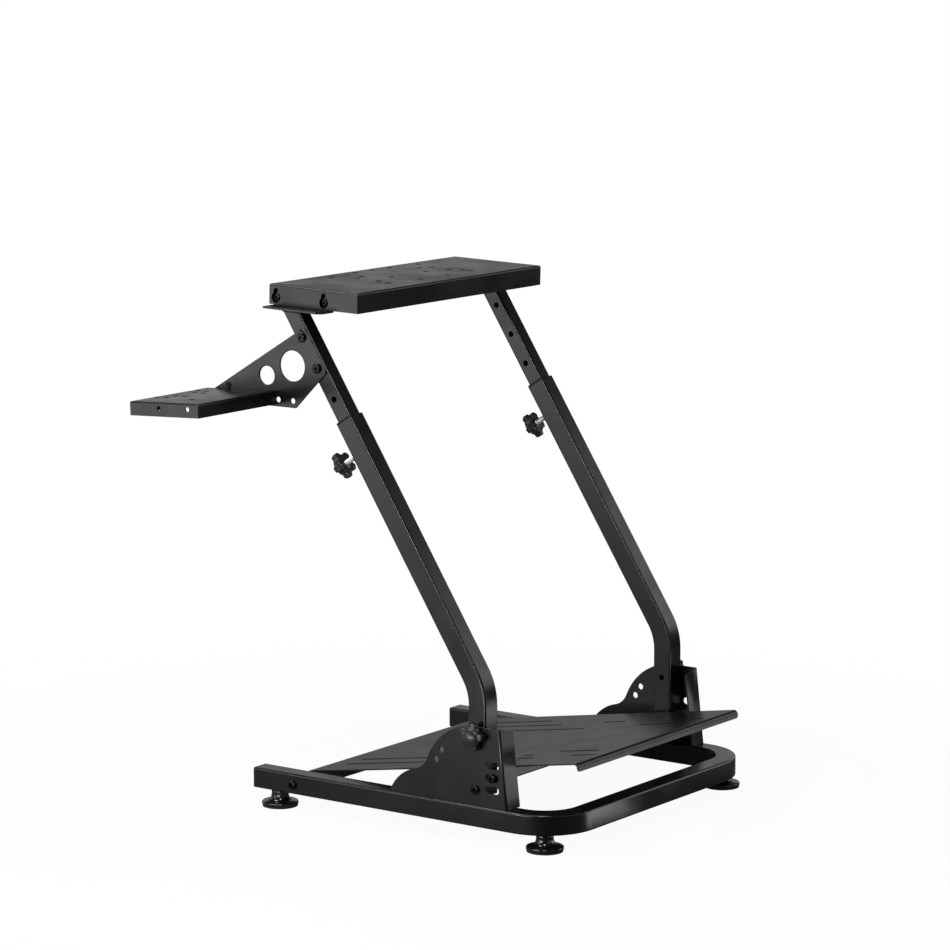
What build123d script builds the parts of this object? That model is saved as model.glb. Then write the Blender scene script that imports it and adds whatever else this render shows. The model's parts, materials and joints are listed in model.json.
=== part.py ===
"""Folding racing wheel stand: bent-tube base, two leaning telescopic uprights, wheel plate and shifter tray."""

import math
import os

from build123d import *

# Driving dimensions, in millimetres and degrees.
# While building, X is the driver's right, Y runs forward from the rails' rear ends and Z up from the floor.

# Base frame: one square tube bent into a U that opens toward the driver
BASE_WIDTH = 508.0
BASE_LENGTH = 536.0
BASE_TUBE = 30.0
BASE_BEND = 65.0
TUBE_WALL = 1.5
TUBE_CORNER = 3.0
CAP_HEAD = 3.0
CAP_PLUG = 12.0
CAP_FIT = 0.2
CAP_ROUND = 1.2

# Levelling feet
FOOT_HEIGHT = 24.0
FOOT_DISC = 53.0
FOOT_RIM = 4.5
FOOT_RIM_ROUND = 1.5
FOOT_FLARE = 34.0
FOOT_FLARE_RISE = 11.0
FOOT_BOSS = 24.5
FOOT_PAD = 3.0
FOOT_PAD_INSET = 0.8
FOOT_REAR_Y = 34.5
FOOT_FRONT_ANGLE = 35.0
STUD_SIZE = 8.0
STUD_SEAT = 12.0
STUD_REACH = 16.0

# Fasteners
FIT = 0.05
BOLT_SIZE = 8.0
BOLT_HEAD = 14.0
BOLT_HEAD_HIGH = 4.2
BOLT_NUT = 13.0
BOLT_NUT_HIGH = 5.0
BOLT_PAST_NUT = 2.0
TRAY_BOLT = 6.0
TRAY_BOLT_HEAD = 12.0
TRAY_BOLT_HEAD_HIGH = 3.5
TRAY_NUT = 10.0
TRAY_NUT_HIGH = 5.0
BAR_THREAD = 10.0
PIVOT_BOLT = 8.0
PIVOT_HEAD = 14.0
PIVOT_HEAD_HIGH = 3.8
PIVOT_NUT = 13.0
PIVOT_NUT_HIGH = 6.5
PIVOT_WASHER = 1.0
PIVOT_PAST_NUT = 0.5

# Side plates that carry the uprights; their rear shoulder is round about the pivot
SIDE_INSET = 2.0
SIDE_SHEET = 3.0
SIDE_GAP = 1.0
SIDE_SETBACK = 89.5
SIDE_LENGTH = 203.5
SIDE_ROUND = 90.0
SIDE_SHOULDER_ANGLE = 22.0
SIDE_DIP = 0.684
SIDE_LEAN = 13.0
SIDE_FLANGE = 32.0
SIDE_FLANGE_DROP = 7.0
PIVOT_SETBACK = 54.0
PIVOT_RISE = 23.0
LOCK_RADIUS = 76.0
FOLD_STOPS = (50.0, 63.0)
FOLD_HOLE = 9.0

# Pedal plate and the two bars that carry it
PEDAL_TILT = 9.2
PEDAL_WIDTH = 412.0
PEDAL_OVERHANG = 7.5
PEDAL_SETBACK = 3.0
PEDAL_SHEET = 2.0
PEDAL_LIP = 12.0
PEDAL_LIP_CORNER = 5.0
PEDAL_LIP_BEND = 6.0
PEDAL_SLOT = 6.5
REAR_BAR = 20.0
REAR_BAR_Y = 69.5
REAR_BAR_RISE = 13.5
FRONT_BAR = 15.0
FRONT_BAR_SETBACK = 25.0
BAR_CORNER = 2.0
BAR_PLUG = 6.0
FRONT_SLOT_PITCH = 17.5
FRONT_SLOT_LENGTH = 22.0
FRONT_SLOT = 10.5

# Uprights
LOWER_TUBE = 30.0
LOWER_BEND_RISE = 140.0
LOWER_BEND = 80.0
LOWER_LEG = 427.0
LOWER_TAIL = 9.0
LEAN = 32.8
LOCK_HOLE_PLAY = 0.5
COLLAR_HIGH = 3.0
COLLAR_ROUND = 0.7
COLLAR_BORE = 26.0
CLAMP_BELOW_COLLAR = 51.0
CLAMP_BOSS = 14.0
CLAMP_BOSS_HEIGHT = 4.0

# Sliding upper tubes
UPPER_TUBE = 25.0
UPPER_OVERLAP = 200.0
UPPER_REACH = 173.3
HOLE_PITCH = 50.0
HOLE_ABOVE_COLLAR = 31.5
HOLE_SIZE = 9.0

# Wheel plate and its angle brackets
WHEEL_WIDTH = 446.0
WHEEL_DEPTH = 160.0
WHEEL_FLANGE = 29.0
WHEEL_SHEET = 2.0
WHEEL_AHEAD = 22.5
WHEEL_TILT = 1.5
WHEEL_HOLE = 9.0
SHEET_BEND = 2.6
SHEET_SEAM = 1.6
BRACKET_LENGTH = 103.0
BRACKET_AHEAD = 2.0
BRACKET_LEG = 24.0
BRACKET_PLAY = 3.0
BRACKET_TAIL = 4.0
BRACKET_SHEET = 3.0
BRACKET_MARGIN = 1.5
BRACKET_CORNER = 8.0
BRACKET_GAP = 0.5
KEYHOLE_BIG = 16.0
KEYHOLE_SMALL = 9.0
KEYHOLE_RISE = 9.3
KEYHOLE_Z = 10.0
KEYHOLE_FROM_REAR = 5.0
KEYHOLE_FROM_FRONT = 12.0
KEYHOLE_BOLT_HEAD = 11.0

# Shifter gusset and tray, placed from the lower of the two bolts on the right upper tube
GUSSET_SHEET = 3.0
GUSSET_TOP_MARGIN = 10.5
GUSSET_LOW_MARGIN = 12.5
GUSSET_TOP_ROUND = 10.0
GUSSET_SIDE_ROUND = 9.0
GUSSET_ROUND = 6.0
GUSSET_TOE = 36.5
GUSSET_HEEL = 14.0
GUSSET_TIP = 8.0
GUSSET_TIP_DROP = 6.0
GUSSET_BIG_HOLE = 44.0
GUSSET_BIG_SPOT = (24.5, -38.0)
GUSSET_SMALL_HOLE = 27.0
GUSSET_SMALL_SPOT = (35.5, -86.0)
GUSSET_SPARE_HOLE = 8.0
GUSSET_SPARE_FORWARD = (4.5, 31.0)
TRAY_WIDTH = 170.0
TRAY_DEPTH = 126.0
TRAY_FLANGE = 20.0
TRAY_SHEET = 2.0
TRAY_BELOW_BOLT = 40.0
TRAY_BEHIND_BOLT = 139.0
TRAY_TILT = 2.7
TRAY_HOLE = 9.0
TRAY_END_HOLE = 7.0
TRAY_END_DROP = 8.2
TRAY_BOLT_INSET = (22.0, 25.0)
TRAY_END_INSET = (20.5, 72.5)

# Hand knobs
KNOB_SIZE = 40.0
KNOB_THICK = 17.5
KNOB_HUB = 16.0
KNOB_HUB_HIGH = 1.0
KNOB_RIM = 11.0
KNOB_BACK_ROUND = 2.5
KNOB_FACE_ROUND = 3.0
KNOB_DOME = 28.0
KNOB_LOBES = 5
KNOB_NOTCH = 22.0
KNOB_NOTCH_DEPTH = 5.5
HEIGHT_KNOB_TURN = 23.0
LOCK_KNOB_TURN = 41.0
SCREW_SIZE = 8.0
SCREW_TIP_GAP = 0.3
HEIGHT_KNOB_STAND = 24.0
LOCK_KNOB_STAND = 1.0

# Derived positions
RAIL_TOP = FOOT_HEIGHT + BASE_TUBE
RAIL_X = BASE_WIDTH / 2 - BASE_TUBE / 2
RAIL_Z = FOOT_HEIGHT + BASE_TUBE / 2
FRONT_Y = BASE_LENGTH - BASE_TUBE / 2
SIDE_OUT_X = BASE_WIDTH / 2 - SIDE_INSET
SIDE_IN_X = SIDE_OUT_X - SIDE_SHEET
SIDE_FRONT_Y = BASE_LENGTH - SIDE_SETBACK
UPRIGHT_X = SIDE_IN_X - SIDE_GAP - LOWER_TUBE / 2
PIVOT_Y = SIDE_FRONT_Y - PIVOT_SETBACK
PIVOT_Z = RAIL_TOP + PIVOT_RISE
LOCK_Z = PIVOT_Z + LOCK_RADIUS
BEND_Z = PIVOT_Z + LOWER_BEND_RISE
REAR_BAR_Z = FOOT_HEIGHT + REAR_BAR_RISE
FRONT_BAR_Y = SIDE_FRONT_Y - FRONT_BAR_SETBACK
PEDAL_REAR_Y = REAR_BAR_Y - PEDAL_OVERHANG
PEDAL_FRONT_Y = BASE_LENGTH - PEDAL_SETBACK
LEAN_SIN = math.sin(math.radians(LEAN))
LEAN_COS = math.cos(math.radians(LEAN))
PEDAL_SIN = math.sin(math.radians(PEDAL_TILT))
PEDAL_COS = math.cos(math.radians(PEDAL_TILT))
UPPER_OUT_X = UPRIGHT_X + UPPER_TUBE / 2
GUSSET_OUT_X = UPPER_OUT_X + GUSSET_SHEET


def along_upright(distance, forward=0.0):
    """Point (Y, Z) at a distance up the leaning leg from the bend, and forward of its axis, square to it."""
    y = PIVOT_Y - LEAN_SIN * distance + LEAN_COS * forward
    z = BEND_Z + LEAN_COS * distance + LEAN_SIN * forward
    return (y, z)


def block(x0, x1, y0, y1, z0, z1):
    """Box between two corners."""
    size = (abs(x1 - x0), abs(y1 - y0), abs(z1 - z0))
    middle = ((x0 + x1) / 2, (y0 + y1) / 2, (z0 + z1) / 2)
    return Pos(*middle) * Box(*size)


def rod_x(diameter, x0, x1, y, z):
    """Round bar along X."""
    return Pos((x0 + x1) / 2, y, z) * Rot(0, 90, 0) * Cylinder(diameter / 2, abs(x1 - x0))


def rod_z(diameter, x, y, z0, z1):
    """Round bar along Z."""
    return Pos(x, y, (z0 + z1) / 2) * Cylinder(diameter / 2, z1 - z0)


def side_view(x):
    """Drawing plane square to X, whose first direction is Y and second is Z."""
    return Plane(origin=(x, 0, 0), x_dir=(0, 1, 0), z_dir=(1, 0, 0))


def swept_tube(path, size):
    """Hollow square tube with rounded corners along a path whose first stretch is square to X."""
    start = Plane(origin=path @ 0, x_dir=(1, 0, 0), z_dir=path % 0)
    outside = sweep(start * RectangleRounded(size, size, TUBE_CORNER), path=path)
    bore = size - 2 * TUBE_WALL
    inside = sweep(start * RectangleRounded(bore, bore, TUBE_CORNER - TUBE_WALL), path=path)
    return outside - inside


def bar_x(size, half_length):
    """Hollow square bar along X with closed ends, centred on the origin."""
    end = Plane(origin=(-half_length, 0, 0), x_dir=(0, 1, 0), z_dir=(1, 0, 0))
    outside = extrude(end * RectangleRounded(size, size, BAR_CORNER), 2 * half_length)
    bore = size - 2 * TUBE_WALL
    return outside - Box(2 * (half_length - BAR_PLUG), bore, bore)


def button_bolt_x(size, head, head_high, x_seat, x_tip, y, z):
    """Button-head bolt along X with a hexagon socket, its head outside the seat."""
    way = 1 if x_seat > x_tip else -1
    shank = rod_x(size, x_seat, x_tip, y, z)
    cap = rod_x(head, x_seat, x_seat + way * head_high, y, z)
    crown = cap.edges().filter_by(GeomType.CIRCLE).sort_by(Axis.X)
    cap = fillet(crown[-1] if way > 0 else crown[0], head_high * 0.6)
    socket_face = Plane(origin=(x_seat + way * head_high, y, z), z_dir=(-way, 0, 0))
    socket = extrude(socket_face * RegularPolygon(size * 0.34, 6), head_high * 0.6)
    return shank + cap - socket


def nut_x(across, high, x_seat, y, z):
    """Hexagon nut along X, standing inward from the seat on the driver's right."""
    seat = Plane(origin=(x_seat, y, z), z_dir=(-1, 0, 0))
    return extrude(seat * RegularPolygon(across / 2, 6, major_radius=False), high)


def folded_tray(width, depth, high, sheet):
    """Shallow open-bottomed pan with rounded bends, its top face centred on the origin."""
    pan = Pos(0, 0, -high / 2) * Box(width, depth, high)
    pan = fillet(pan.edges().filter_by(Axis.Z), SHEET_SEAM)
    pan = fillet(pan.edges().group_by(Axis.Z)[-1], SHEET_BEND)
    room = Pos(0, 0, -sheet - high / 2) * Box(width - 2 * sheet, depth - 2 * sheet, high)
    return pan - room


def other_side(shape):
    """The same piece on the driver's left."""
    return mirror(shape, about=Plane.YZ)


parts = {}

# Base frame
rail_path = FilletPolyline(
    (RAIL_X, 0, RAIL_Z),
    (RAIL_X, FRONT_Y, RAIL_Z),
    (-RAIL_X, FRONT_Y, RAIL_Z),
    (-RAIL_X, 0, RAIL_Z),
    radius=BASE_BEND,
)
base_frame = swept_tube(rail_path, BASE_TUBE)
bend_x = RAIL_X - BASE_BEND
bend_y = FRONT_Y - BASE_BEND
foot_angle = math.radians(FOOT_FRONT_ANGLE)
foot_front_x = bend_x + BASE_BEND * math.cos(foot_angle)
foot_front_y = bend_y + BASE_BEND * math.sin(foot_angle)
foot_spots = {
    "front_right": (foot_front_x, foot_front_y),
    "rear_right": (RAIL_X, FOOT_REAR_Y),
    "front_left": (-foot_front_x, foot_front_y),
    "rear_left": (-RAIL_X, FOOT_REAR_Y),
}
for x, y in foot_spots.values():
    base_frame -= rod_z(STUD_SIZE + 2 * FIT, x, y, FOOT_HEIGHT - TUBE_WALL, FOOT_HEIGHT + 2 * TUBE_WALL)
for side in (1, -1):
    bolt_way = (side * (RAIL_X - BASE_TUBE), side * (RAIL_X + BASE_TUBE))
    base_frame -= rod_x(BOLT_SIZE + 2 * FIT, bolt_way[0], bolt_way[1], REAR_BAR_Y, REAR_BAR_Z)
parts["base_frame"] = base_frame

# Plastic plugs in the open rear ends
plug_half = BASE_TUBE / 2 - TUBE_WALL - CAP_FIT
cap_plug = block(-plug_half, plug_half, 0, CAP_PLUG, -plug_half, plug_half)
cap_plug = fillet(cap_plug.edges().filter_by(Axis.Y), TUBE_CORNER - TUBE_WALL + 2 * CAP_FIT)
tube_half = BASE_TUBE / 2
cap_head = block(-tube_half, tube_half, -CAP_HEAD, 0, -tube_half, tube_half)
cap_head = fillet(cap_head.edges().filter_by(Axis.Y), TUBE_CORNER)
cap_head = fillet(cap_head.edges().group_by(Axis.Y)[0], CAP_ROUND)
rail_cap = Pos(RAIL_X, 0, RAIL_Z) * (cap_head + cap_plug)
parts["rail_cap_right"] = rail_cap
parts["rail_cap_left"] = other_side(rail_cap)

# Levelling feet: a rubber pad, a moulded disc that flares up into its boss, and a threaded stud
disc_r = FOOT_DISC / 2
flare_r = FOOT_FLARE / 2
boss_r = FOOT_BOSS / 2
rim_top = FOOT_PAD + FOOT_RIM
rim_edge = (disc_r, rim_top - FOOT_RIM_ROUND)
rim_inner = (disc_r - FOOT_RIM_ROUND, rim_top)
flare_foot = (flare_r, rim_top + FOOT_RIM_ROUND)
flare_neck = (boss_r, flare_foot[1] + FOOT_FLARE_RISE)
foot_line = [
    Line((0, FOOT_PAD), (disc_r, FOOT_PAD)),
    Line((disc_r, FOOT_PAD), rim_edge),
    TangentArc(rim_edge, rim_inner, tangent=(0, 1)),
    Line(rim_inner, flare_foot),
    TangentArc(flare_neck, flare_foot, tangent=(0, -1)),
    Line(flare_neck, (boss_r, FOOT_HEIGHT)),
    Line((boss_r, FOOT_HEIGHT), (0, FOOT_HEIGHT)),
    Line((0, FOOT_HEIGHT), (0, FOOT_PAD)),
]
foot_shape = revolve(Plane.XZ * make_face(foot_line), Axis.Z)
stud_base = FOOT_HEIGHT - STUD_SEAT
foot_shape -= rod_z(STUD_SIZE + 2 * FIT, 0, 0, stud_base, FOOT_HEIGHT + STUD_SEAT)
pad_shape = rod_z(FOOT_DISC - 2 * FOOT_PAD_INSET, 0, 0, 0, FOOT_PAD)
stud_shape = rod_z(STUD_SIZE, 0, 0, stud_base, FOOT_HEIGHT + STUD_REACH)
for name, (x, y) in foot_spots.items():
    parts["foot_" + name] = Pos(x, y, 0) * foot_shape
parts["foot_pads"] = Compound(children=[Pos(x, y, 0) * pad_shape for x, y in foot_spots.values()])
parts["foot_studs"] = Compound(children=[Pos(x, y, 0) * stud_shape for x, y in foot_spots.values()])

# Side plates: a shoulder round about the pivot, an S-curve down to the rail and a folded front flange
side_top = PIVOT_Z + SIDE_ROUND
front_low = (SIDE_FRONT_Y, RAIL_TOP)
front_top = (SIDE_FRONT_Y - SIDE_LEAN, side_top)
toe = (SIDE_FRONT_Y - SIDE_LENGTH, RAIL_TOP)
shoulder_arc = CenterArc((PIVOT_Y, PIVOT_Z), SIDE_ROUND, 90, 90 - SIDE_SHOULDER_ANGLE)
shoulder = shoulder_arc @ 1
dip = (toe[0] + SIDE_DIP * (shoulder.X - toe[0]), toe[1] + SIDE_DIP * (shoulder.Y - toe[1]))
dip_arc = TangentArc(shoulder, dip, tangent=shoulder_arc % 1)
toe_arc = TangentArc(dip, toe, tangent=dip_arc % 1)
outline = [
    Line(toe, front_low),
    Line(front_low, front_top),
    Line(front_top, (PIVOT_Y, side_top)),
    shoulder_arc,
    dip_arc,
    toe_arc,
]
side_plate = extrude(side_view(SIDE_IN_X) * make_face(outline), SIDE_SHEET)
flange_line = Polyline(
    front_low,
    front_top,
    (front_top[0] - SIDE_SHEET, front_top[1]),
    (front_low[0] - SIDE_SHEET, front_low[1]),
    close=True,
)
side_plate += extrude(side_view(SIDE_OUT_X - SIDE_FLANGE) * make_face(flange_line), SIDE_FLANGE)
corner = side_plate.edges().filter_by(
    lambda e: abs(e.center().X - SIDE_OUT_X) < FIT
    and abs(e.center().Y - (front_low[0] + front_top[0]) / 2) < FIT
)
side_plate = fillet(corner, SIDE_SHEET)
flange_end = SIDE_OUT_X - 2 * SIDE_FLANGE
slope_line = Polyline(
    (SIDE_IN_X, side_top),
    (flange_end, side_top - 2 * SIDE_FLANGE_DROP),
    (flange_end, side_top + SIDE_SHEET),
    (SIDE_IN_X, side_top + SIDE_SHEET),
    close=True,
)
slope_view = Plane(origin=(0, SIDE_FRONT_Y, 0), x_dir=(1, 0, 0), z_dir=(0, -1, 0))
side_plate -= extrude(slope_view * make_face(slope_line), SIDE_LEAN + 2 * SIDE_SHEET)
side_holes = [(PIVOT_Y, PIVOT_Z, PIVOT_BOLT + 2 * FIT), (PIVOT_Y, LOCK_Z, SCREW_SIZE + 2 * FIT)]
for stop in FOLD_STOPS:
    turn = math.radians(stop)
    stop_y = PIVOT_Y - LOCK_RADIUS * math.sin(turn)
    stop_z = PIVOT_Z + LOCK_RADIUS * math.cos(turn)
    side_holes.append((stop_y, stop_z, FOLD_HOLE))
for y, z, size in side_holes:
    side_plate -= rod_x(size, SIDE_IN_X - SIDE_SHEET, SIDE_OUT_X + SIDE_SHEET, y, z)

# Pedal bars: the plate lies on both, so their tops share its tilt
rear_under_y = REAR_BAR_Y - PEDAL_SIN * REAR_BAR / 2
rear_under_z = REAR_BAR_Z + PEDAL_COS * REAR_BAR / 2
pedal_slope = PEDAL_SIN / PEDAL_COS
front_under_y = FRONT_BAR_Y - PEDAL_SIN * FRONT_BAR / 2
front_under_z = rear_under_z + (front_under_y - rear_under_y) * pedal_slope
front_bar_z = front_under_z - PEDAL_COS * FRONT_BAR / 2
for step in (-1, 0, 1):
    spot = Pos(FRONT_BAR_Y, front_bar_z + step * FRONT_SLOT_PITCH)
    slot = side_view(SIDE_IN_X) * spot * SlotOverall(FRONT_SLOT_LENGTH, FRONT_SLOT)
    side_plate -= extrude(slot, 2 * SIDE_SHEET, both=True)
parts["side_plate_right"] = side_plate
parts["side_plate_left"] = other_side(side_plate)

rear_half = RAIL_X - BASE_TUBE / 2
rear_crossbar = Pos(0, REAR_BAR_Y, REAR_BAR_Z) * Rot(PEDAL_TILT, 0, 0) * bar_x(REAR_BAR, rear_half)
support_bar = Pos(0, FRONT_BAR_Y, front_bar_z) * Rot(PEDAL_TILT, 0, 0) * bar_x(FRONT_BAR, SIDE_IN_X)
thread_hole = BOLT_SIZE + 2 * FIT
for side in (1, -1):
    rear_tip = side * (rear_half - BAR_THREAD)
    rear_crossbar -= rod_x(thread_hole, rear_tip, side * rear_half, REAR_BAR_Y, REAR_BAR_Z)
    bar_tip = side * (SIDE_IN_X - BAR_THREAD)
    support_bar -= rod_x(thread_hole, bar_tip, side * SIDE_IN_X, FRONT_BAR_Y, front_bar_z)
parts["rear_crossbar"] = rear_crossbar
parts["pedal_support_bar"] = support_bar

# Pedal plate: drawn flat with its underside on the local XY plane, then tilted onto the bars
pedal_length = (PEDAL_FRONT_Y - PEDAL_REAR_Y) / PEDAL_COS
lip_top = pedal_length - PEDAL_LIP_BEND
lip_bend_z = PEDAL_SHEET - PEDAL_LIP_BEND
lip_low_z = PEDAL_SHEET - PEDAL_LIP
lip_back = pedal_length - PEDAL_SHEET
lip_line = [
    Line((0, 0), (0, PEDAL_SHEET)),
    Line((0, PEDAL_SHEET), (lip_top, PEDAL_SHEET)),
    TangentArc((lip_top, PEDAL_SHEET), (pedal_length, lip_bend_z), tangent=(1, 0)),
    Line((pedal_length, lip_bend_z), (pedal_length, lip_low_z)),
    Line((pedal_length, lip_low_z), (lip_back, lip_low_z)),
    Line((lip_back, lip_low_z), (lip_back, lip_bend_z)),
    TangentArc((lip_back, lip_bend_z), (lip_top, 0), tangent=(0, 1)),
    Line((lip_top, 0), (0, 0)),
]
pedal_plate = extrude(side_view(-PEDAL_WIDTH / 2) * make_face(lip_line), PEDAL_WIDTH)
lip_corners = pedal_plate.edges().filter_by(Axis.Y).group_by(Axis.Z)[0]
pedal_plate = fillet(lip_corners, PEDAL_LIP_CORNER)
# Each slot: across from the middle, start from the rear edge, length
rear_slots = (
    (124.5, 34.0, 125.0), (159.5, 33.0, 144.0), (-159.5, 33.0, 144.0), (-123.0, 98.0, 123.0),
    (-83.0, 158.0, 129.0),
)
# Each slot: across from the middle, end from the front edge, length
front_slots = (
    (128.0, 130.0, 18.0), (151.0, 115.0, 28.0), (-134.0, 148.0, 40.0), (103.0, 35.0, 69.0),
    (-103.0, 35.0, 69.0), (138.0, 15.0, 42.0), (-138.0, 15.0, 42.0),
)
pedal_slots = [(x, start + length / 2, length) for x, start, length in rear_slots]
pedal_slots += [(x, pedal_length - end - length / 2, length) for x, end, length in front_slots]
for x, middle, length in pedal_slots:
    slot = Pos(x, middle) * Rot(0, 0, 90) * SlotOverall(length, PEDAL_SLOT)
    pedal_plate -= extrude(slot, 2 * PEDAL_SHEET, both=True)
pedal_rear_z = rear_under_z + (PEDAL_REAR_Y - rear_under_y) * pedal_slope
pedal_place = Pos(0, PEDAL_REAR_Y, pedal_rear_z) * Rot(PEDAL_TILT, 0, 0)
parts["pedal_plate"] = pedal_place * pedal_plate

# Bolts of the base
rear_bolts = []
bar_bolts = []
for side in (1, -1):
    rail_out = side * BASE_WIDTH / 2
    rear_tip = side * (rear_half - BAR_THREAD)
    bolt = button_bolt_x(BOLT_SIZE, BOLT_HEAD, BOLT_HEAD_HIGH, rail_out, rear_tip, REAR_BAR_Y, REAR_BAR_Z)
    rear_bolts.append(bolt)
    plate_out = side * SIDE_OUT_X
    bar_tip = side * (SIDE_IN_X - BAR_THREAD)
    bolt = button_bolt_x(BOLT_SIZE, BOLT_HEAD, BOLT_HEAD_HIGH, plate_out, bar_tip, FRONT_BAR_Y, front_bar_z)
    bar_bolts.append(bolt)
parts["rear_bar_bolts"] = Compound(children=rear_bolts)
parts["support_bar_bolts"] = Compound(children=bar_bolts)

pivot_nut_x = UPRIGHT_X - LOWER_TUBE / 2 - PIVOT_WASHER
pivot_tip_x = pivot_nut_x - PIVOT_NUT_HIGH - PIVOT_PAST_NUT
pivot_bolt = button_bolt_x(PIVOT_BOLT, PIVOT_HEAD, PIVOT_HEAD_HIGH, SIDE_OUT_X, pivot_tip_x, PIVOT_Y, PIVOT_Z)
pivot_bolt += nut_x(PIVOT_NUT, PIVOT_NUT_HIGH, pivot_nut_x, PIVOT_Y, PIVOT_Z)
parts["pivot_bolt_right"] = pivot_bolt
parts["pivot_bolt_left"] = other_side(pivot_bolt)

# Lower tubes of the uprights, with the bosses that take the height screws
mouth = along_upright(LOWER_LEG - COLLAR_HIGH)
lower_path = FilletPolyline(
    (UPRIGHT_X, PIVOT_Y, PIVOT_Z - LOWER_TAIL),
    (UPRIGHT_X, PIVOT_Y, BEND_Z),
    (UPRIGHT_X, mouth[0], mouth[1]),
    radius=LOWER_BEND,
)
lower_tube = swept_tube(lower_path, LOWER_TUBE)
tube_way = (UPRIGHT_X - LOWER_TUBE, UPRIGHT_X + LOWER_TUBE)
lower_tube -= rod_x(PIVOT_BOLT + 2 * FIT, tube_way[0], tube_way[1], PIVOT_Y, PIVOT_Z)
lower_tube -= rod_x(SCREW_SIZE + LOCK_HOLE_PLAY, tube_way[0], tube_way[1], PIVOT_Y, LOCK_Z)
clamp_seat = along_upright(LOWER_LEG - CLAMP_BELOW_COLLAR, -LOWER_TUBE / 2)
clamp_frame = Plane(
    origin=(UPRIGHT_X, clamp_seat[0], clamp_seat[1]),
    x_dir=(1, 0, 0),
    z_dir=(0, -LEAN_COS, -LEAN_SIN),
)
clamp_bore = SCREW_SIZE / 2 + FIT
lower_tube -= clamp_frame * Pos(0, 0, -TUBE_WALL) * Cylinder(clamp_bore, 3 * TUBE_WALL)
clamp_boss = Cylinder(CLAMP_BOSS / 2, CLAMP_BOSS_HEIGHT) - Cylinder(clamp_bore, 2 * CLAMP_BOSS_HEIGHT)
clamp_nut = clamp_frame * Pos(0, 0, CLAMP_BOSS_HEIGHT / 2) * clamp_boss
parts["lower_tube_right"] = lower_tube
parts["lower_tube_left"] = other_side(lower_tube)
parts["clamp_nut_right"] = clamp_nut
parts["clamp_nut_left"] = other_side(clamp_nut)

# Plastic guide collars on the mouths of the lower tubes
mouth_frame = Plane(
    origin=(UPRIGHT_X, mouth[0], mouth[1]),
    x_dir=(1, 0, 0),
    z_dir=(0, -LEAN_SIN, LEAN_COS),
)
collar = extrude(RectangleRounded(LOWER_TUBE, LOWER_TUBE, TUBE_CORNER), COLLAR_HIGH)
collar = fillet(collar.edges().group_by(Axis.Z)[-1] + collar.edges().group_by(Axis.Z)[0], COLLAR_ROUND)
collar -= extrude(RectangleRounded(COLLAR_BORE, COLLAR_BORE, TUBE_WALL), COLLAR_HIGH)
parts["tube_collar_right"] = mouth_frame * collar
parts["tube_collar_left"] = other_side(mouth_frame * collar)

# Wheel plate frame: it stands on the brackets at the tops of the upper tubes, tilted a little nose-down
tube_top = along_upright(LOWER_LEG + UPPER_REACH)
plate_rise = BRACKET_SHEET + BRACKET_GAP + WHEEL_FLANGE
wheel_place = Pos(0, tube_top[0], tube_top[1]) * Rot(-WHEEL_TILT, 0, 0) * Pos(0, WHEEL_AHEAD, plate_rise)
bracket_top = -WHEEL_FLANGE - BRACKET_GAP
bracket_under = bracket_top - BRACKET_SHEET

# Upper tubes, cut level with the brackets that close them
upper_low = along_upright(LOWER_LEG - UPPER_OVERLAP)
upper_high = along_upright(LOWER_LEG + UPPER_REACH + 2 * UPPER_TUBE)
upper_path = Polyline((UPRIGHT_X, upper_low[0], upper_low[1]), (UPRIGHT_X, upper_high[0], upper_high[1]))
upper_tube = swept_tube(upper_path, UPPER_TUBE)
spare_end = 4 * UPPER_TUBE
tube_middle = -WHEEL_AHEAD
above = block(
    UPRIGHT_X - UPPER_TUBE, UPRIGHT_X + UPPER_TUBE,
    tube_middle - spare_end, tube_middle + spare_end,
    bracket_under, bracket_under + spare_end,
)
upper_tube -= wheel_place * above
for step in range(4):
    spot = along_upright(LOWER_LEG + HOLE_ABOVE_COLLAR + (step - 1) * HOLE_PITCH)
    upper_tube -= rod_x(HOLE_SIZE, UPRIGHT_X - UPPER_TUBE, UPRIGHT_X + UPPER_TUBE, spot[0], spot[1])
parts["upper_tube_right"] = upper_tube
parts["upper_tube_left"] = other_side(upper_tube)

# Angle brackets: a level leg over the tube's end and an upright leg inside the plate's end flange
leg_out_x = WHEEL_WIDTH / 2 - WHEEL_SHEET - BRACKET_PLAY
leg_in_x = leg_out_x - BRACKET_SHEET
level_in_x = min(leg_in_x, UPRIGHT_X - UPPER_TUBE / 2 - BRACKET_MARGIN)
level_out_x = max(leg_out_x, UPRIGHT_X + UPPER_TUBE / 2 + BRACKET_MARGIN)
bracket_y = BRACKET_AHEAD - WHEEL_AHEAD
rear_y = bracket_y - BRACKET_LENGTH / 2
fore_y = bracket_y + BRACKET_LENGTH / 2
level_line = Polyline(
    (level_in_x, rear_y),
    (level_out_x, rear_y),
    (level_out_x, fore_y - BRACKET_CORNER),
    (level_out_x - BRACKET_CORNER, fore_y),
    (level_in_x, fore_y),
    close=True,
)
level_leg = Pos(0, 0, bracket_under) * extrude(make_face(level_line), BRACKET_SHEET)
leg_rear_y = rear_y - BRACKET_TAIL
upright_leg = block(leg_in_x, leg_out_x, leg_rear_y, fore_y, bracket_under, bracket_top + BRACKET_LEG)
bracket = level_leg + upright_leg
key_ys = (rear_y + KEYHOLE_FROM_REAR, fore_y - KEYHOLE_FROM_FRONT)
key_z = -WHEEL_FLANGE + KEYHOLE_Z
for y in key_ys:
    bracket -= rod_x(BOLT_SIZE + 2 * FIT, leg_in_x - BRACKET_SHEET, leg_out_x + BRACKET_SHEET, y, key_z)
parts["top_bracket_right"] = wheel_place * bracket
parts["top_bracket_left"] = other_side(wheel_place * bracket)

# Wheel plate: a field of holes on top, keyholes in the end flanges
wheel_plate = folded_tray(WHEEL_WIDTH, WHEEL_DEPTH, WHEEL_FLANGE, WHEEL_SHEET)
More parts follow.
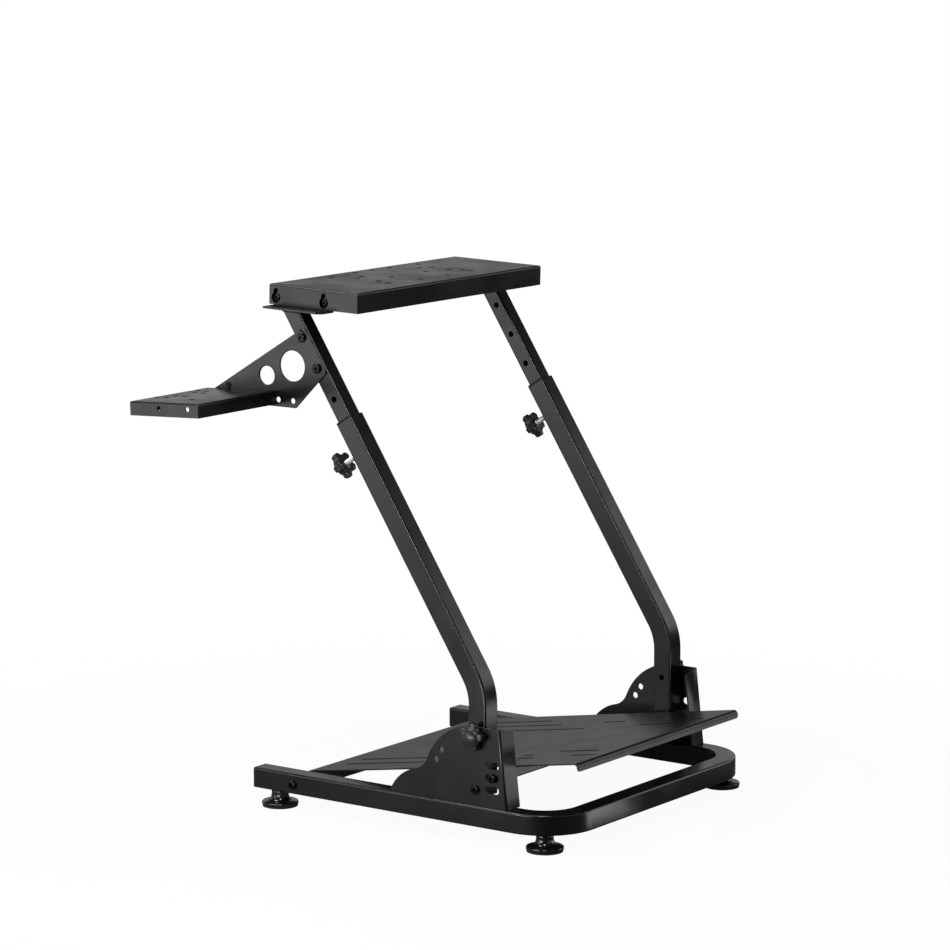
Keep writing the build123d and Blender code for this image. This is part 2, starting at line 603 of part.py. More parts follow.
# Each hole: across from the middle, forward of the middle; those off the middle come in pairs
wheel_holes = (
    (0.0, -66.0), (41.0, -66.0), (105.0, -60.0), (70.0, -33.0), (90.0, -24.0), (41.5, 1.0),
    (86.0, 11.0), (101.0, 24.0), (99.0, 39.0), (33.0, 47.0),
)
for x, y in wheel_holes:
    for side in (1, -1) if x else (1,):
        wheel_plate -= rod_z(WHEEL_HOLE, side * x, y, -2 * WHEEL_SHEET, WHEEL_SHEET)
key_neck = KEYHOLE_SMALL / 2
for side in (1, -1):
    key_in = side * (WHEEL_WIDTH / 2 - 2 * WHEEL_SHEET)
    key_out = side * (WHEEL_WIDTH / 2 + WHEEL_SHEET)
    for y in key_ys:
        wheel_plate -= rod_x(KEYHOLE_BIG, key_in, key_out, y, key_z)
        wheel_plate -= rod_x(KEYHOLE_SMALL, key_in, key_out, y, key_z + KEYHOLE_RISE)
        wheel_plate -= block(key_in, key_out, y - key_neck, y + key_neck, key_z, key_z + KEYHOLE_RISE)
parts["wheel_plate"] = wheel_place * wheel_plate
key_bolts = []
for side in (1, -1):
    for y in key_ys:
        seat = side * leg_out_x
        key_tip = side * (leg_in_x - BOLT_NUT_HIGH - BOLT_PAST_NUT)
        key_bolt = button_bolt_x(BOLT_SIZE, KEYHOLE_BOLT_HEAD, BOLT_HEAD_HIGH, seat, key_tip, y, key_z)
        key_bolts.append(wheel_place * key_bolt)
parts["wheel_plate_bolts"] = Compound(children=key_bolts)

# Shifter gusset: a triangular plate bolted to the outside of the right upper tube
bolt_low = LOWER_LEG + HOLE_ABOVE_COLLAR + HOLE_PITCH
bolt_high = bolt_low + HOLE_PITCH
gusset_bolt_spots = [along_upright(bolt_low), along_upright(bolt_high)]
tray_y = gusset_bolt_spots[0][0] - TRAY_BEHIND_BOLT
tray_top_z = gusset_bolt_spots[0][1] - TRAY_BELOW_BOLT
tray_low_z = tray_top_z - TRAY_FLANGE
tray_rear_y = tray_y - TRAY_DEPTH / 2
tray_fore_y = tray_y + TRAY_DEPTH / 2
tray_bolt_z = tray_top_z - TRAY_FLANGE / 2
tray_bolt_ys = (tray_fore_y - TRAY_BOLT_INSET[0], tray_rear_y + TRAY_BOLT_INSET[1])
tray_bolt_spots = [(y, tray_bolt_z) for y in tray_bolt_ys]
gusset_line = Polyline(
    along_upright(bolt_high + GUSSET_TOP_MARGIN, UPPER_TUBE / 2),
    along_upright(bolt_low - GUSSET_LOW_MARGIN, UPPER_TUBE / 2),
    (tray_fore_y + GUSSET_TOE, tray_low_z),
    (tray_rear_y + GUSSET_HEEL, tray_low_z),
    (tray_rear_y + GUSSET_TIP, tray_top_z - GUSSET_TIP_DROP),
    close=True,
)
gusset_face = make_face(gusset_line)
gusset_face = fillet(gusset_face.vertices().sort_by(Axis.Y)[-1], GUSSET_TOP_ROUND)
gusset_face = fillet(gusset_face.vertices().sort_by(Axis.X)[-1], GUSSET_SIDE_ROUND)
gusset_face = fillet(gusset_face.vertices().group_by(Axis.Y)[0], GUSSET_ROUND)
gusset = extrude(side_view(UPPER_OUT_X) * gusset_face, GUSSET_SHEET)
big_spot = along_upright(bolt_low + GUSSET_BIG_SPOT[0], GUSSET_BIG_SPOT[1])
small_spot = along_upright(bolt_low + GUSSET_SMALL_SPOT[0], GUSSET_SMALL_SPOT[1])
gusset_holes = [(big_spot, GUSSET_BIG_HOLE), (small_spot, GUSSET_SMALL_HOLE)]
gusset_holes += [(spot, BOLT_SIZE + 2 * FIT) for spot in gusset_bolt_spots]
gusset_holes += [(spot, TRAY_BOLT + 2 * FIT) for spot in tray_bolt_spots]
spare_spots = [(tray_fore_y + forward, tray_bolt_z) for forward in GUSSET_SPARE_FORWARD]
gusset_holes += [(spot, GUSSET_SPARE_HOLE) for spot in spare_spots]
for spot, size in gusset_holes:
    gusset -= rod_x(size, UPPER_OUT_X - GUSSET_SHEET, GUSSET_OUT_X + GUSSET_SHEET, spot[0], spot[1])
parts["shifter_gusset"] = gusset

# Shifter tray: a folded pan whose inner end is bolted to the gusset
tray = folded_tray(TRAY_WIDTH, TRAY_DEPTH, TRAY_FLANGE, TRAY_SHEET)
# Each hole: outward from the middle, forward of the middle
tray_holes = (
    (41.0, 15.0), (15.0, -20.0), (15.0, -38.0), (36.0, -37.0), (38.0, -52.0), (-31.0, -40.0), (-50.0, -50.0),
    (-46.0, -32.0), (-23.0, -18.0), (-44.0, 22.0),
)
for x, y in tray_holes:
    tray -= rod_z(TRAY_HOLE, x, y, -2 * TRAY_SHEET, TRAY_SHEET)
tray_end_x = TRAY_WIDTH / 2
tray_side_ys = [TRAY_DEPTH / 2 - inset for inset in TRAY_END_INSET]
for y in tray_side_ys:
    tray -= rod_x(TRAY_END_HOLE, tray_end_x - 2 * TRAY_SHEET, tray_end_x + TRAY_SHEET, y, -TRAY_END_DROP)
tray_place = Pos(GUSSET_OUT_X + tray_end_x, tray_y, tray_top_z) * Rot(TRAY_TILT, 0, 0)
tray = tray_place * tray
for y, z in tray_bolt_spots:
    tray -= rod_x(TRAY_BOLT + 2 * FIT, GUSSET_OUT_X - TRAY_SHEET, GUSSET_OUT_X + 2 * TRAY_SHEET, y, z)
parts["shifter_tray"] = tray

gusset_bolts = []
for y, z in gusset_bolt_spots:
    nut_seat = UPRIGHT_X - UPPER_TUBE / 2
    bolt_tip = nut_seat - BOLT_NUT_HIGH - BOLT_PAST_NUT
    bolt = button_bolt_x(BOLT_SIZE, BOLT_HEAD, BOLT_HEAD_HIGH, GUSSET_OUT_X, bolt_tip, y, z)
    gusset_bolts.append(bolt + nut_x(BOLT_NUT, BOLT_NUT_HIGH, nut_seat, y, z))
parts["gusset_bolts"] = Compound(children=gusset_bolts)
tray_bolts = []
for y, z in tray_bolt_spots:
    bolt_seat = GUSSET_OUT_X + TRAY_SHEET
    bolt_tip = UPPER_OUT_X - TRAY_NUT_HIGH - BOLT_PAST_NUT
    bolt = button_bolt_x(TRAY_BOLT, TRAY_BOLT_HEAD, TRAY_BOLT_HEAD_HIGH, bolt_seat, bolt_tip, y, z)
    tray_bolts.append(bolt + nut_x(TRAY_NUT, TRAY_NUT_HIGH, UPPER_OUT_X, y, z))
parts["tray_bolts"] = Compound(children=tray_bolts)

# Star knob drawn along local +Z from its hub face: a lobed rim under a smooth dome
knob_r = KNOB_SIZE / 2
hub_r = KNOB_HUB / 2
rim_face_z = KNOB_HUB_HIGH + KNOB_RIM
knob_back = (knob_r - KNOB_BACK_ROUND, KNOB_HUB_HIGH)
knob_low = (knob_r, KNOB_HUB_HIGH + KNOB_BACK_ROUND)
knob_high = (knob_r, rim_face_z - KNOB_FACE_ROUND)
knob_face = (knob_r - KNOB_FACE_ROUND, rim_face_z)
dome_foot = (KNOB_DOME / 2, rim_face_z)
knob_line = [
    Line((0, 0), (hub_r, 0)),
    Line((hub_r, 0), (hub_r, KNOB_HUB_HIGH)),
    Line((hub_r, KNOB_HUB_HIGH), knob_back),
    TangentArc(knob_back, knob_low, tangent=(1, 0)),
    Line(knob_low, knob_high),
    TangentArc(knob_high, knob_face, tangent=(0, 1)),
    Line(knob_face, dome_foot),
    TangentArc((0, KNOB_THICK), dome_foot, tangent=(1, 0)),
    Line((0, KNOB_THICK), (0, 0)),
]
knob = revolve(Plane.XZ * make_face(knob_line), Axis.Z)
notch_x = knob_r - KNOB_NOTCH_DEPTH + KNOB_NOTCH / 2
for lobe in range(KNOB_LOBES):
    turn = Rot(0, 0, 360.0 / KNOB_LOBES * lobe)
    knob -= turn * Pos(notch_x, 0, KNOB_THICK / 2) * Cylinder(KNOB_NOTCH / 2, 2 * KNOB_THICK)

# Height knobs under the lower tubes; their screws reach in to the upper tubes
tube_play = (LOWER_TUBE - UPPER_TUBE) / 2
height_tip = SCREW_TIP_GAP - tube_play
height_long = HEIGHT_KNOB_STAND - height_tip
height_screw = Pos(0, 0, HEIGHT_KNOB_STAND - height_long / 2) * Cylinder(SCREW_SIZE / 2, height_long)
height_knob_right = clamp_frame * Pos(0, 0, HEIGHT_KNOB_STAND) * Rot(0, 0, HEIGHT_KNOB_TURN) * knob
height_screw_right = clamp_frame * height_screw
parts["height_knob_right"] = height_knob_right
parts["height_screw_right"] = height_screw_right
parts["height_knob_left"] = other_side(height_knob_right)
parts["height_screw_left"] = other_side(height_screw_right)

# Fold-lock knobs outside the side plates; their screws end level with the plates' inner faces
lock_frame = Plane(origin=(SIDE_OUT_X, PIVOT_Y, LOCK_Z), x_dir=(0, 1, 0), z_dir=(1, 0, 0))
lock_long = LOCK_KNOB_STAND + SIDE_SHEET
lock_screw = Pos(0, 0, LOCK_KNOB_STAND - lock_long / 2) * Cylinder(SCREW_SIZE / 2, lock_long)
lock_knob_right = lock_frame * Pos(0, 0, LOCK_KNOB_STAND) * Rot(0, 0, LOCK_KNOB_TURN) * knob
lock_screw_right = lock_frame * lock_screw
parts["lock_knob_right"] = lock_knob_right
parts["lock_screw_right"] = lock_screw_right
parts["lock_knob_left"] = other_side(lock_knob_right)
parts["lock_screw_left"] = other_side(lock_screw_right)

# Origin at the middle of the bounding box, on the floor
box = Compound(children=[Compound(children=list(shape.solids())) for shape in parts.values()]).bounding_box()
shift = Pos(-(box.min.X + box.max.X) / 2, -(box.min.Y + box.max.Y) / 2, -box.min.Z)

os.makedirs("parts", exist_ok=True)
for name, shape in parts.items():
    solids = [shift * solid for solid in shape.solids()]
    export_step(solids[0] if len(solids) == 1 else Compound(children=solids), "parts/" + name + ".step")
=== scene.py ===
import json
import math

import bpy
import numpy as np
from mathutils import Matrix, Vector


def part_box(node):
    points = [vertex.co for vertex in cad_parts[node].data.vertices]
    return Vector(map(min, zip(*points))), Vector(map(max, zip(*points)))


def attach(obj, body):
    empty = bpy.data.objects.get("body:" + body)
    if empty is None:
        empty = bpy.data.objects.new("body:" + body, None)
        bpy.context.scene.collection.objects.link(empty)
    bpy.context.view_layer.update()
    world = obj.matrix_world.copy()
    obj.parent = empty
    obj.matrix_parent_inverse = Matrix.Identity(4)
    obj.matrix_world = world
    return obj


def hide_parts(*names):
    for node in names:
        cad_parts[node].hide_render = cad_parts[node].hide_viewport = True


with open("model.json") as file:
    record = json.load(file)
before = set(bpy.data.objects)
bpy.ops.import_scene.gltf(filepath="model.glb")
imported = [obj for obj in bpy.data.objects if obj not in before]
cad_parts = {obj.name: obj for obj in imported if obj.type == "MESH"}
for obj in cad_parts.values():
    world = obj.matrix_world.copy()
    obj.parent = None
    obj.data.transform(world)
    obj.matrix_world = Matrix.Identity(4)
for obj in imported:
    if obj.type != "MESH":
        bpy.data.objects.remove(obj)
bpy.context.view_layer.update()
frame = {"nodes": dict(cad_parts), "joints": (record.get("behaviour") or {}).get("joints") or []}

nodes = frame["nodes"]

# Base frame: one 30 mm square steel tube, cold-bent into a U that opens toward the driver.
# It is powder-coated satin black. The baked coat has fine pale specks, slow changes of gloss
# and a shallow orange-peel skin.
MM = 0.001


def new_group(name, inputs, outputs):
    """Empty shader node group with named sockets; gives the group and its entry and exit nodes."""
    group = bpy.data.node_groups.new(name, "ShaderNodeTree")
    for socket, kind, value in inputs:
        group.interface.new_socket(socket, in_out="INPUT", socket_type=kind).default_value = value
    for socket, kind in outputs:
        group.interface.new_socket(socket, in_out="OUTPUT", socket_type=kind)
    return group, group.nodes.new("NodeGroupInput"), group.nodes.new("NodeGroupOutput")


def noise(tree, coordinates, scale, detail):
    """Noise over the piece's own coordinates; scale is in cells per metre, or a socket that gives it."""
    node = tree.nodes.new("ShaderNodeTexNoise")
    node.inputs["Detail"].default_value = detail
    tree.links.new(coordinates, node.inputs["Vector"])
    if isinstance(scale, bpy.types.NodeSocket):
        tree.links.new(scale, node.inputs["Scale"])
    else:
        node.inputs["Scale"].default_value = scale
    return node.outputs["Fac"]


def spread(tree, value, low, high, to_low, to_high):
    """Value stretched so that low becomes to_low and high becomes to_high, held between the two."""
    node = tree.nodes.new("ShaderNodeMapRange")
    tree.links.new(value, node.inputs["Value"])
    for socket, number in (("From Min", low), ("From Max", high), ("To Min", to_low), ("To Max", to_high)):
        node.inputs[socket].default_value = number
    return node.outputs["Result"]


def reckon(tree, operation, first, second):
    """One sum, product or maximum of two values, each a socket or a number."""
    node = tree.nodes.new("ShaderNodeMath")
    node.operation = operation
    for socket, value in zip(node.inputs, (first, second)):
        if isinstance(value, bpy.types.NodeSocket):
            tree.links.new(value, socket)
        else:
            socket.default_value = value
    return node.outputs["Value"]


def blend_colour(tree, mask, first, second, kind="MIX"):
    """Two colours mixed by a mask, each a socket or red, green, blue and alpha."""
    node = tree.nodes.new("ShaderNodeMix")
    node.data_type = "RGBA"
    node.blend_type = kind
    inputs = [s for s in node.inputs if s.type in ("RGBA", "VALUE") and s.enabled]
    for socket, value in zip(inputs, (mask, first, second)):
        if isinstance(value, bpy.types.NodeSocket):
            tree.links.new(value, socket)
        else:
            socket.default_value = value
    return [s for s in node.outputs if s.type == "RGBA" and s.enabled][0]


powder_coat, coat_in, coat_out = new_group(
    "powder_coat",
    [
        ("Colour", "NodeSocketColor", (0.02, 0.02, 0.02, 1.0)),
        ("Speck Colour", "NodeSocketColor", (0.1, 0.1, 0.1, 1.0)),
        ("Speck Amount", "NodeSocketFloat", 0.5),
        ("Speck Scale", "NodeSocketFloat", 900.0),
        ("Roughness", "NodeSocketFloat", 0.4),
        ("Gloss Change", "NodeSocketFloat", 0.1),
        ("Peel Scale", "NodeSocketFloat", 500.0),
    ],
    [("Colour", "NodeSocketColor"), ("Roughness", "NodeSocketFloat"), ("Height", "NodeSocketFloat")],
)
SPECK_FROM, SPECK_FULL = 0.52, 0.72
CLOUD_SCALE, CLOUD_SHADE = 18.0, 0.14
NOISE_LOW, NOISE_HIGH = 0.3, 0.7
own_place = powder_coat.nodes.new("ShaderNodeTexCoord").outputs["Object"]
specks = noise(powder_coat, own_place, coat_in.outputs["Speck Scale"], detail=3.0)
speck_mask = spread(powder_coat, specks, SPECK_FROM, SPECK_FULL, 0.0, 1.0)
speck_share = reckon(powder_coat, "MULTIPLY", speck_mask, coat_in.outputs["Speck Amount"])
speckled = blend_colour(powder_coat, speck_share, coat_in.outputs["Colour"], coat_in.outputs["Speck Colour"])
cloud = noise(powder_coat, own_place, CLOUD_SCALE, detail=3.0)
cloud_shade = spread(powder_coat, cloud, NOISE_LOW, NOISE_HIGH, 1.0 - CLOUD_SHADE, 1.0 + CLOUD_SHADE)
cloud_grey = powder_coat.nodes.new("ShaderNodeCombineColor")
for channel in ("Red", "Green", "Blue"):
    powder_coat.links.new(cloud_shade, cloud_grey.inputs[channel])
clouded = blend_colour(powder_coat, 1.0, speckled, cloud_grey.outputs["Color"], "MULTIPLY")
cloud_swing = spread(powder_coat, cloud, NOISE_LOW, NOISE_HIGH, -0.5, 0.5)
gloss_swing = reckon(powder_coat, "MULTIPLY", cloud_swing, coat_in.outputs["Gloss Change"])
coat_roughness = reckon(powder_coat, "ADD", coat_in.outputs["Roughness"], gloss_swing)
peel = noise(powder_coat, own_place, coat_in.outputs["Peel Scale"], detail=2.0)
powder_coat.links.new(clouded, coat_out.inputs["Colour"])
powder_coat.links.new(coat_roughness, coat_out.inputs["Roughness"])
powder_coat.links.new(peel, coat_out.inputs["Height"])


def painted(name, colour, speck_colour, values, bump_strength, bump_depth, specular):
    """Material with the powder-coat group on colour, roughness and bump.

    values are the group's numbers. The specular level is the same all over and goes straight to the shader.
    """
    material = bpy.data.materials.new(name)
    material.use_nodes = True
    tree = material.node_tree
    shader = tree.nodes["Principled BSDF"]
    coat = tree.nodes.new("ShaderNodeGroup")
    coat.node_tree = powder_coat
    coat.inputs["Colour"].default_value = (*colour, 1.0)
    coat.inputs["Speck Colour"].default_value = (*speck_colour, 1.0)
    for socket, number in values.items():
        coat.inputs[socket].default_value = number
    bump = tree.nodes.new("ShaderNodeBump")
    bump.inputs["Strength"].default_value = bump_strength
    bump.inputs["Distance"].default_value = bump_depth
    tree.links.new(coat.outputs["Colour"], shader.inputs["Base Color"])
    tree.links.new(coat.outputs["Roughness"], shader.inputs["Roughness"])
    tree.links.new(coat.outputs["Height"], bump.inputs["Height"])
    tree.links.new(bump.outputs["Normal"], shader.inputs["Normal"])
    shader.inputs["Specular IOR Level"].default_value = specular
    return material


def dress(material, *names):
    """Gives CAD nodes their finish."""
    for name in names:
        nodes[name].data.materials.clear()
        nodes[name].data.materials.append(material)


frame_paint = painted(
    "frame_paint",
    colour=(0.002, 0.002, 0.0022),
    speck_colour=(0.010, 0.010, 0.011),
    values={
        "Speck Amount": 0.45,
        "Speck Scale": 1100.0,
        "Roughness": 0.27,
        "Gloss Change": 0.08,
        "Peel Scale": 620.0,
    },
    bump_strength=0.05,
    bump_depth=0.2 * MM,
    specular=0.5,
)
dress(frame_paint, "base_frame")

# Rail caps: moulded plastic plugs pressed into the open rear ends of the tube.
# Their faces have a fine spark-eroded texture, duller than the paint.
cap_plastic = painted(
    "cap_plastic",
    colour=(0.006, 0.006, 0.006),
    speck_colour=(0.018, 0.018, 0.018),
    values={
        "Speck Amount": 0.6,
        "Speck Scale": 1600.0,
        "Roughness": 0.50,
        "Gloss Change": 0.06,
        "Peel Scale": 1500.0,
    },
    bump_strength=0.45,
    bump_depth=0.3 * MM,
    specular=0.4,
)
dress(cap_plastic, "rail_cap_right", "rail_cap_left")

# Levelling feet: glossy moulded discs that flare up into a boss against the rail.
# Each turns on a zinc-plated stud and stands on a rubber pad. The profile's sizes are in millimetres.
UPWARD = np.array([0.0, 0.0, 1.0])
RIGHTWARD = np.array([1.0, 0.0, 0.0])


def skin(name, stacks, material, smooth_below):
    """One mesh over stacks of rings, each an array (rings, points, 3).

    Neighbouring rings are joined point to point into four-sided faces, and the first and last ring of a
    stack close on a point at their own middle. A stack whose signed volume is negative is turned outside
    out. Edges that turn by less than smooth_below degrees are shaded smooth.
    """
    corners, faces, count = [], [], 0
    for rings in stacks:
        rows, around = rings.shape[:2]
        index = np.arange(rows * around).reshape(rows, around)
        after = np.roll(index, -1, axis=1)
        sides = np.stack([index[:-1], after[:-1], after[1:], index[1:]], axis=-1).reshape(-1, 4)
        poles = rings[[0, -1]].mean(axis=1)
        start = np.stack([after[0], index[0], np.full(around, rows * around)], axis=-1)
        end = np.stack([index[-1], after[-1], np.full(around, rows * around + 1)], axis=-1)
        points = np.concatenate([rings.reshape(-1, 3), poles])
        middle = points.mean(axis=0)
        thirds = np.concatenate([sides[:, [0, 1, 2]], sides[:, [0, 2, 3]], start, end])
        a, b, c = (points[thirds[:, k]] - middle for k in range(3))
        if np.einsum("ij,ij->i", a, np.cross(b, c)).sum() < 0:
            sides, start, end = sides[:, ::-1], start[:, ::-1], end[:, ::-1]
        corners.append(points)
        faces += (sides + count).tolist() + (start + count).tolist() + (end + count).tolist()
        count += len(points)
    mesh = bpy.data.meshes.new(name)
    mesh.from_pydata(np.concatenate(corners).tolist(), [], faces)
    mesh.polygons.foreach_set("use_smooth", np.ones(len(mesh.polygons), dtype=bool))
    mesh.set_sharp_from_angle(angle=math.radians(smooth_below))
    mesh.materials.append(material)
    piece = bpy.data.objects.new(name, mesh)
    bpy.context.scene.collection.objects.link(piece)
    return piece


def turned(profile, foot, axis, sideways, around):
    """Rings of a turned shape: each profile row (radius, height) is a circle about the axis through foot."""
    across = np.cross(axis, sideways)
    angle = np.linspace(0.0, 2.0 * np.pi, around, endpoint=False)
    circle = np.cos(angle)[:, None] * sideways + np.sin(angle)[:, None] * across
    return foot + profile[:, 1, None, None] * axis + profile[:, 0, None, None] * circle


def arc(middle, radius, start, end, count):
    """Points of a circular arc in a profile, from one angle to another in degrees."""
    angle = np.radians(np.linspace(start, end, count))
    return np.stack([middle[0] + radius * np.cos(angle), middle[1] + radius * np.sin(angle)], axis=1)


foot_plastic = painted(
    "foot_plastic",
    colour=(0.003, 0.003, 0.0032),
    speck_colour=(0.007, 0.007, 0.007),
    values={
        "Speck Amount": 0.5,
        "Speck Scale": 900.0,
        "Roughness": 0.17,
        "Gloss Change": 0.10,
        "Peel Scale": 240.0,
    },
    bump_strength=0.02,
    bump_depth=0.3 * MM,
    specular=0.5,
)
pad_rubber = painted(
    "pad_rubber",
    colour=(0.012, 0.012, 0.012),
    speck_colour=(0.03, 0.03, 0.029),
    values={
        "Speck Amount": 0.7,
        "Speck Scale": 1300.0,
        "Roughness": 0.78,
        "Gloss Change": 0.08,
        "Peel Scale": 1200.0,
    },
    bump_strength=0.5,
    bump_depth=0.3 * MM,
    specular=0.3,
)
FOOT_AROUND, RIM_POINTS, FLARE_POINTS = 96, 8, 18
DISC_R, RIM_ROUND, RIM_TURN, FLARE_R, BOSS_R, STUD_R = 26.5, 1.7, 80.0, 17.5, 12.25, 2.0
PAD_TOP, RIM_TOP, FLARE_TOP, FLARE_FOOT = 3.0, 7.5, 20.5, 9.2
DISC_CHAMFER, BOSS_CHAMFER = 0.5, 0.4
flare_turn = np.radians(np.linspace(90.0, 0.0, FLARE_POINTS))
flare = np.stack(
    [
        BOSS_R + (FLARE_R - BOSS_R) * (1.0 - np.cos(flare_turn)),
        FLARE_TOP - (FLARE_TOP - FLARE_FOOT) * np.sin(flare_turn),
    ],
    axis=1,
)
for corner in ("front_right", "rear_right", "front_left", "rear_left"):
    node = "foot_" + corner
    low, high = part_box(node)
    boss_top = high.z / MM
    profile = np.concatenate(
        [
            [[STUD_R, PAD_TOP], [DISC_R - DISC_CHAMFER, PAD_TOP], [DISC_R, PAD_TOP + DISC_CHAMFER]],
            arc((DISC_R - RIM_ROUND, RIM_TOP - RIM_ROUND), RIM_ROUND, 0.0, RIM_TURN, RIM_POINTS),
            flare,
            [[BOSS_R, boss_top - BOSS_CHAMFER], [BOSS_R - BOSS_CHAMFER, boss_top], [STUD_R, boss_top]],
        ]
    )
    stand_point = np.array([(low.x + high.x) / 2, (low.y + high.y) / 2, 0.0])
    rings = turned(profile * MM, stand_point, UPWARD, RIGHTWARD, FOOT_AROUND)
    foot = skin("levelling_" + node, [rings], foot_plastic, smooth_below=50.0)
    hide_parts(node)
    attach(foot, "base")
dress(pad_rubber, "foot_pads")

STAIN_WIDER, STAIN_SHADE = 12.0, 0.72


def metal(name, colour, roughness, scratch_scale, swing, metallic):
    """Bare or plated metal: fine drawn scratches change its gloss, and wider stains change its shade."""
    material = bpy.data.materials.new(name)
    material.use_nodes = True
    tree = material.node_tree
    shader = tree.nodes["Principled BSDF"]
    where = tree.nodes.new("ShaderNodeTexCoord").outputs["Object"]
    scratches = noise(tree, where, scratch_scale, detail=4.0)
    stains = noise(tree, where, scratch_scale / STAIN_WIDER, detail=2.0)
    clean = spread(tree, stains, NOISE_LOW, NOISE_HIGH, 0.0, 1.0)
    stained = tuple(STAIN_SHADE * channel for channel in colour)
    shade = blend_colour(tree, clean, (*stained, 1.0), (*colour, 1.0))
    gloss = spread(tree, scratches, NOISE_LOW, NOISE_HIGH, roughness - swing, roughness + swing)
    tree.links.new(shade, shader.inputs["Base Color"])
    tree.links.new(gloss, shader.inputs["Roughness"])
    shader.inputs["Metallic"].default_value = metallic
    return material


# Zinc plating: the pale colour on a surface only partly metallic is partly real zinc and partly a painted
# reflection of white surroundings, which the dark studio reflections don't give.
zinc_plate = metal(
    "zinc_plate",
    colour=(0.90, 0.91, 0.92),
    roughness=0.34,
    scratch_scale=1800.0,
    swing=0.08,
    metallic=0.6,
)
dress(zinc_plate, "foot_studs")

# Side plates: 3 mm laser-cut steel, folded over at the front, standing on the rails.
# Short weld beads along the inner foot hold each to its rail, painted over with the plate.
EDGE_ROLL = 0.5 * MM
SHARP_EDGE = math.radians(50.0)
SAME_PLANE = math.radians(0.5)
SAME_POINT = 0.002 * MM


def roll_edges(width, *names):
    """Rolls over the cut edges of sheet pieces.

    Loose triangles are joined, flat areas become single faces, and sharp edges get two strips of that width.
    """
    for name in names:
        joined = nodes[name].modifiers.new("joined", "WELD")
        joined.merge_threshold = SAME_POINT
        flat = nodes[name].modifiers.new("flat", "DECIMATE")
        flat.decimate_type = "DISSOLVE"
        flat.angle_limit = SAME_PLANE
        rolled = nodes[name].modifiers.new("rolled", "BEVEL")
        rolled.width = width
        rolled.segments = 2
        rolled.limit_method = "ANGLE"
        rolled.angle_limit = SHARP_EDGE
        rolled.use_clamp_overlap = False
        rolled.harden_normals = True


dress(frame_paint, "side_plate_right", "side_plate_left")
roll_edges(EDGE_ROLL, "side_plate_right", "side_plate_left")
RIPPLE, RIPPLE_SWELL, RIPPLE_ROWS = 2.2 * MM, 0.10, 8
BEAD_AROUND, BEAD_FEWEST_ROWS, BEAD_RUN_OUT, BEAD_TIP = 14, 24, 1.6, 0.02
NEARLY_UPRIGHT = 0.9


def bead(start, end, radius):
    """Rings of a weld bead along a line.

    The radius swells as a cosine of the distance, once a ripple, and runs out as a quarter ellipse at each
    end, over BEAD_RUN_OUT radii.
    """
    along = end - start
    length = np.linalg.norm(along)
    way = along / length
    side = np.cross(way, UPWARD if abs(way[2]) < NEARLY_UPRIGHT else RIGHTWARD)
    side /= np.linalg.norm(side)
    rise = np.cross(way, side)
    share = np.linspace(0.0, 1.0, max(BEAD_FEWEST_ROWS, int(length / RIPPLE * RIPPLE_ROWS)))
    distance = share * length
    from_end = np.minimum(distance, length - distance) / (BEAD_RUN_OUT * radius)
    taper = np.sqrt(np.clip(1.0 - np.clip(1.0 - from_end, 0.0, 1.0) ** 2, BEAD_TIP, 1.0))
    size = radius * taper * (1.0 + RIPPLE_SWELL * np.cos(2.0 * np.pi * distance / RIPPLE))
    angle = np.linspace(0.0, 2.0 * np.pi, BEAD_AROUND, endpoint=False)
    circle = np.cos(angle)[:, None] * side + np.sin(angle)[:, None] * rise
    return start + share[:, None, None] * along + size[:, None, None] * circle


PLATE_THICK = 3.0 * MM
FOOT_BEAD_R, FOOT_BEAD_LONG = 2.0 * MM, 34.0 * MM
FOOT_BEAD_STARTS = (0.12, 0.42, 0.66)
for side in ("right", "left"):
    low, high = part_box("side_plate_" + side)
    inner_x = high.x - PLATE_THICK if side == "right" else low.x + PLATE_THICK
    beads = []
    for share in FOOT_BEAD_STARTS:
        start = np.array([inner_x, low.y + share * (high.y - low.y), low.z])
        end = start + np.array([0.0, FOOT_BEAD_LONG, 0.0])
        beads.append(bead(start, end, FOOT_BEAD_R))
    welds = skin("side_plate_welds_" + side, beads, frame_paint, smooth_below=80.0)
    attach(welds, "base")

# Pedal bars: square steel bars across the base, painted with the frame. One joins the rails behind,
# the other joins the side plates in front, and screws hold both at their ends.
dress(frame_paint, "rear_crossbar", "pedal_support_bar")
BAR_HALF = {"rear_crossbar": 10.0 * MM, "pedal_support_bar": 7.5 * MM}

# Pedal plate: 2 mm steel with long mounting slots and a lip rolled down along its front edge.
# It lies on both bars and is stitch-welded to them from below.
pedal_paint = painted(
    "pedal_paint",
    colour=(0.003, 0.003, 0.0032),
    speck_colour=(0.013, 0.013, 0.014),
    values={
        "Speck Amount": 0.45,
        "Speck Scale": 1000.0,
        "Roughness": 0.33,
        "Gloss Change": 0.08,
        "Peel Scale": 560.0,
    },
    bump_strength=0.05,
    bump_depth=0.2 * MM,
    specular=0.5,
)
dress(pedal_paint, "pedal_plate")
PEDAL_TILT = math.radians(9.2)
STITCH_LONG, STITCH_R = 36.0 * MM, 1.5 * MM
STITCH_MIDDLES = (-150.0 * MM, 0.0, 150.0 * MM)
STITCH_IN, STITCH_DOWN = 0.2 * MM, 0.8 * MM
rail_low, rail_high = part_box("base_frame")
stand_middle_x = (rail_low.x + rail_high.x) / 2
along_plate = np.array([0.0, math.cos(PEDAL_TILT), math.sin(PEDAL_TILT)])
off_plate = np.array([0.0, -math.sin(PEDAL_TILT), math.cos(PEDAL_TILT)])
stitches = []
